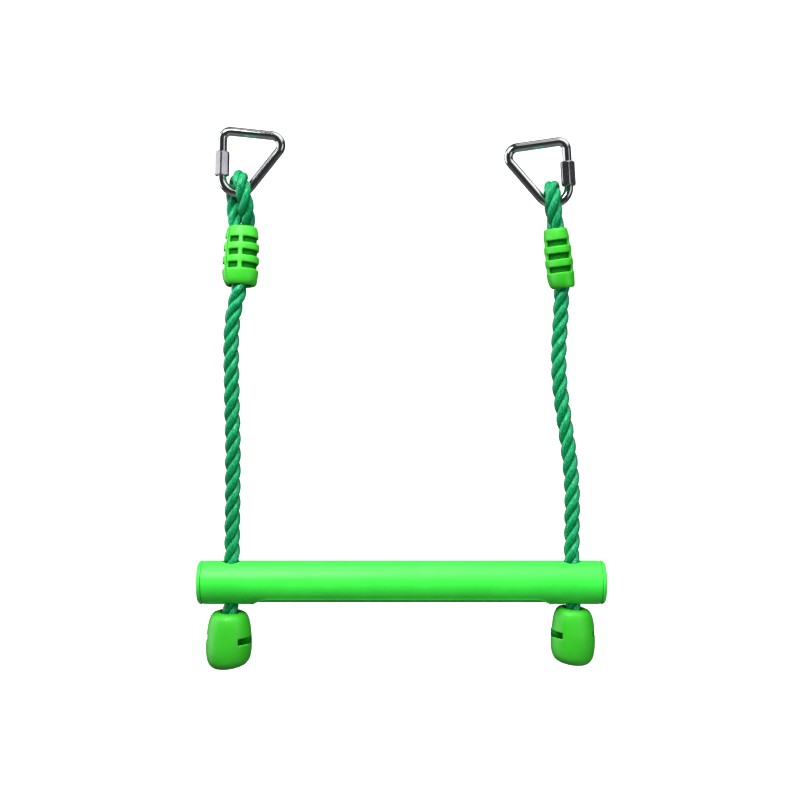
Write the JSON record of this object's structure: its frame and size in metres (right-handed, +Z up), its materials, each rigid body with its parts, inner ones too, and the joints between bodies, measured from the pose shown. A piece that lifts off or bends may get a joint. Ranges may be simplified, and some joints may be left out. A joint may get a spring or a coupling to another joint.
{
  "type": "trapeze bar",
  "caption": "Child's trapeze bar: a hollow plastic grip bar on two twisted ropes with clamps and knot covers, each hung from a triangular screw-gate steel link.",
  "frame": {"origin": "midway along the bar, about level with the faces of the two links that a hook bears on, in the plane of the bar's axis", "axes": "+X along the bar towards the right-hand rope, +Z up, -Y towards the viewer who faces the front shells of the knot covers"},
  "size_m": [0.3, 0.0351, 0.3998],
  "materials": {
    "bar_plastic": "satin, bright green",
    "shell_plastic": "satin, bright green",
    "rope_fibre": "glossy polyethylene fibre, emerald green, three strands laid up right-handed",
    "link_steel": "bright zinc or chrome plate"
  },
  "bodies": {
    "left_link": {"left_link_frame": "link_steel"},
    "left_nut": {"left_link_nut": "link_steel"},
    "left_hanger": {"left_rope_eye": "rope_fibre", "left_clamp_front_shell": "shell_plastic", "left_clamp_back_shell": "shell_plastic"},
    "left_rope": {"left_rope": "rope_fibre"},
    "bar": {"bar_tube": "bar_plastic", "left_end_cap": "bar_plastic", "right_end_cap": "bar_plastic", "left_rope_through_bar": "rope_fibre", "right_rope_through_bar": "rope_fibre", "left_stopper_knot": "rope_fibre", "right_stopper_knot": "rope_fibre"},
    "left_cover": {"left_knot_cover_front_shell": "shell_plastic", "left_knot_cover_back_shell": "shell_plastic"},
    "right_cover": {"right_knot_cover_front_shell": "shell_plastic", "right_knot_cover_back_shell": "shell_plastic"},
    "right_rope": {"right_rope": "rope_fibre"},
    "right_hanger": {"right_rope_eye": "rope_fibre", "right_clamp_front_shell": "shell_plastic", "right_clamp_back_shell": "shell_plastic"},
    "right_link": {"right_link_frame": "link_steel"},
    "right_nut": {"right_link_nut": "link_steel"}
  },
  "joints": [
    {"name": "left_nut_slide", "type": "slide", "parent": "left_link", "child": "left_nut", "axis": [0.0209, 0, 0.9998], "range_m": [0, 0.0088]},
    {"name": "swing", "type": "hinge", "parent": "left_link", "child": "left_hanger", "pos_m": [-0.1206, 0, -0.0372], "axis": [1, 0, 0], "range_deg": [-45, 45]},
    {"name": "sway", "type": "hinge", "parent": "left_hanger", "child": "left_rope", "pos_m": [-0.1198, -0.0073, -0.1125], "axis": [0, 1, 0], "range_deg": [-20, 20]},
    {"name": "bar_level", "type": "hinge", "parent": "left_rope", "child": "bar", "pos_m": [-0.1251, 0, -0.3098], "axis": [0, 1, 0], "range_deg": [-20, 20]},
    {"name": "right_rope_sway", "type": "hinge", "parent": "bar", "child": "right_rope", "pos_m": [0.1253, 0, -0.3098], "axis": [0, 1, 0], "range_deg": [-20, 20]},
    {"name": "right_hanger_level", "type": "hinge", "parent": "right_rope", "child": "right_hanger", "pos_m": [0.1182, 0.0025, -0.1164], "axis": [0, 1, 0], "range_deg": [-20, 20]},
    {"name": "right_link_swing", "type": "hinge", "parent": "right_hanger", "child": "right_link", "pos_m": [0.1116, 0, -0.045], "axis": [1, 0, 0], "range_deg": [-45, 45]},
    {"name": "right_nut_slide", "type": "slide", "parent": "right_link", "child": "right_nut", "axis": [-0.0611, 0, 0.9981], "range_m": [0, 0.0088]},
    {"name": "left_cover_turn", "type": "hinge", "parent": "bar", "child": "left_cover", "pos_m": [-0.1272, 0.0014, -0.3667], "axis": [0.0349, -0.0871, 0.9956], "continuous": true},
    {"name": "right_cover_turn", "type": "hinge", "parent": "bar", "child": "right_cover", "pos_m": [0.1264, 0.0014, -0.3638], "axis": [0, -0.0872, 0.9962], "continuous": true}
  ],
  "couplings": [
    {"joint": "bar_level", "follows": "sway", "ratio": -1},
    {"joint": "right_rope_sway", "follows": "sway", "ratio": 1},
    {"joint": "right_hanger_level", "follows": "sway", "ratio": -1},
    {"joint": "right_link_swing", "follows": "swing", "ratio": -1}
  ]
}
